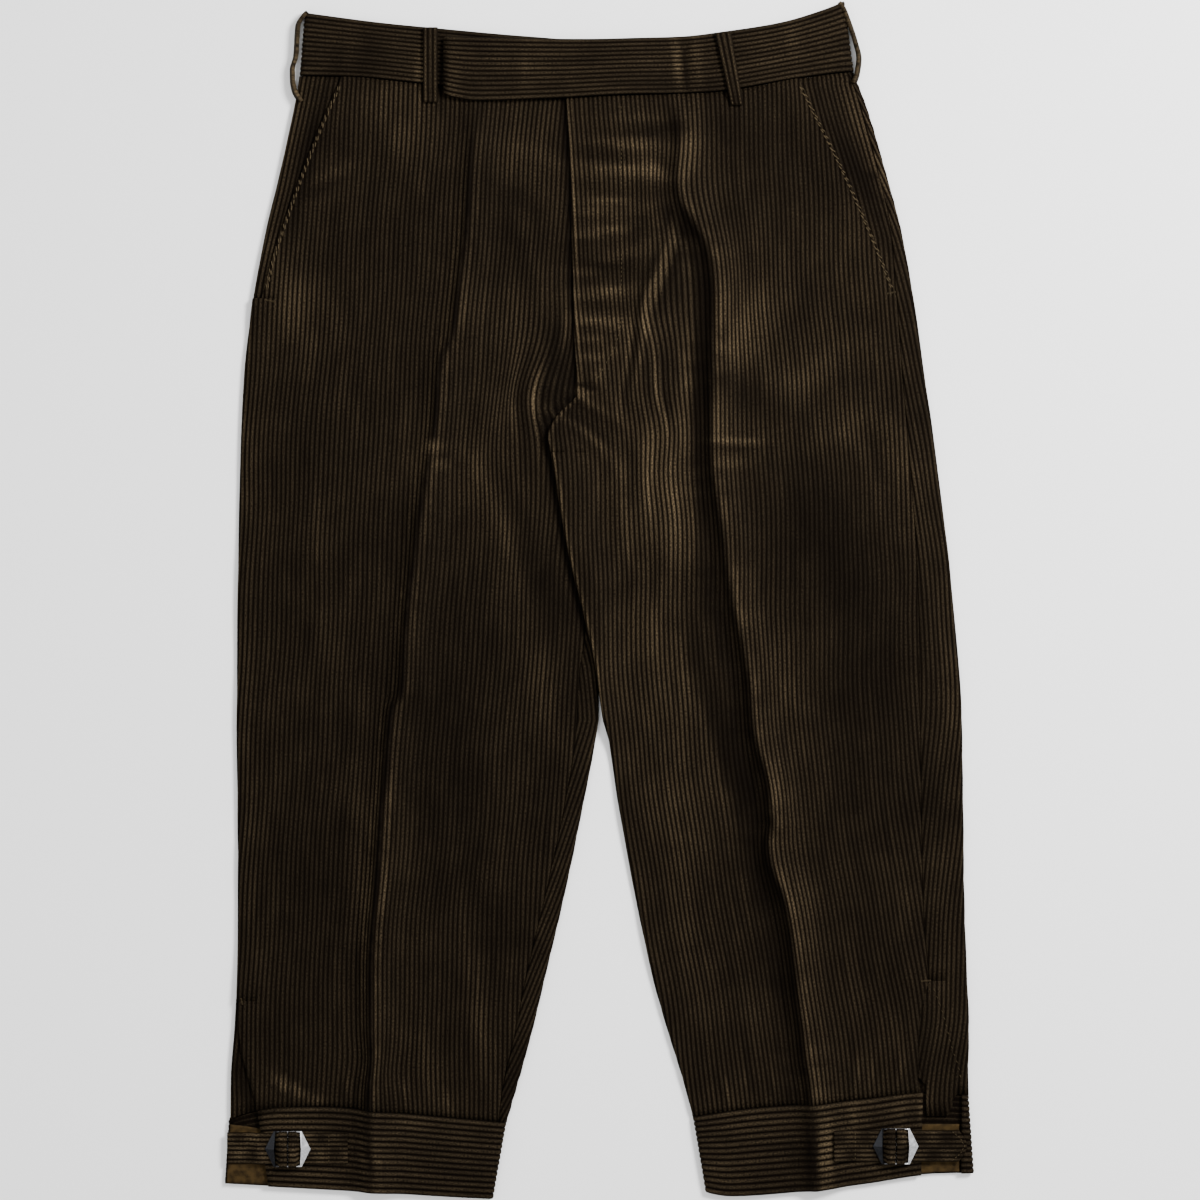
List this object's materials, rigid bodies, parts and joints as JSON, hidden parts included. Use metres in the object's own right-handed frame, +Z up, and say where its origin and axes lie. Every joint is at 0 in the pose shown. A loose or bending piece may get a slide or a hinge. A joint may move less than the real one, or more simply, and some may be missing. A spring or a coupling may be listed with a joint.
{
  "type": "corduroy knee breeches laid flat",
  "caption": "Corduroy knee breeches laid flat: fly front, extended waistband tab, slanted pockets, belt loops, buckled knee cuffs.",
  "frame": {"origin": "middle of the garment's bounding box on the surface that it lies on", "axes": "+Z up from that surface out of the front, +Y along the garment towards the waist, +X towards the wearer's left leg, which is at a viewer's right"},
  "size_m": [0.5592, 0.8937, 0.0145],
  "materials": {
    "brown_corduroy": "dark olive-brown wide-wale cotton corduroy with a soft nap",
    "tan_facing": "plain golden-tan cotton facing",
    "buckle_steel": "bright nickel-plated steel"
  },
  "bodies": {
    "root": {"front_right": "brown_corduroy", "front_left": "brown_corduroy", "back_right": "brown_corduroy", "back_left": "brown_corduroy", "hip_facing_right": "brown_corduroy", "hip_facing_left": "brown_corduroy", "waistband_right": "brown_corduroy", "waistband_left": "brown_corduroy", "cuff_right": "brown_corduroy", "cuff_left": "brown_corduroy", "cuff_facing_right": "tan_facing", "cuff_facing_left": "tan_facing", "loop_front_right": "brown_corduroy", "loop_front_left": "brown_corduroy", "loop_side_right": "brown_corduroy", "loop_side_left": "brown_corduroy", "strap_outer_right": "brown_corduroy", "strap_inner_right": "brown_corduroy", "strap_outer_left": "brown_corduroy", "strap_inner_left": "brown_corduroy", "buckle_right": "buckle_steel", "buckle_left": "buckle_steel"}
  },
  "joints": []
}
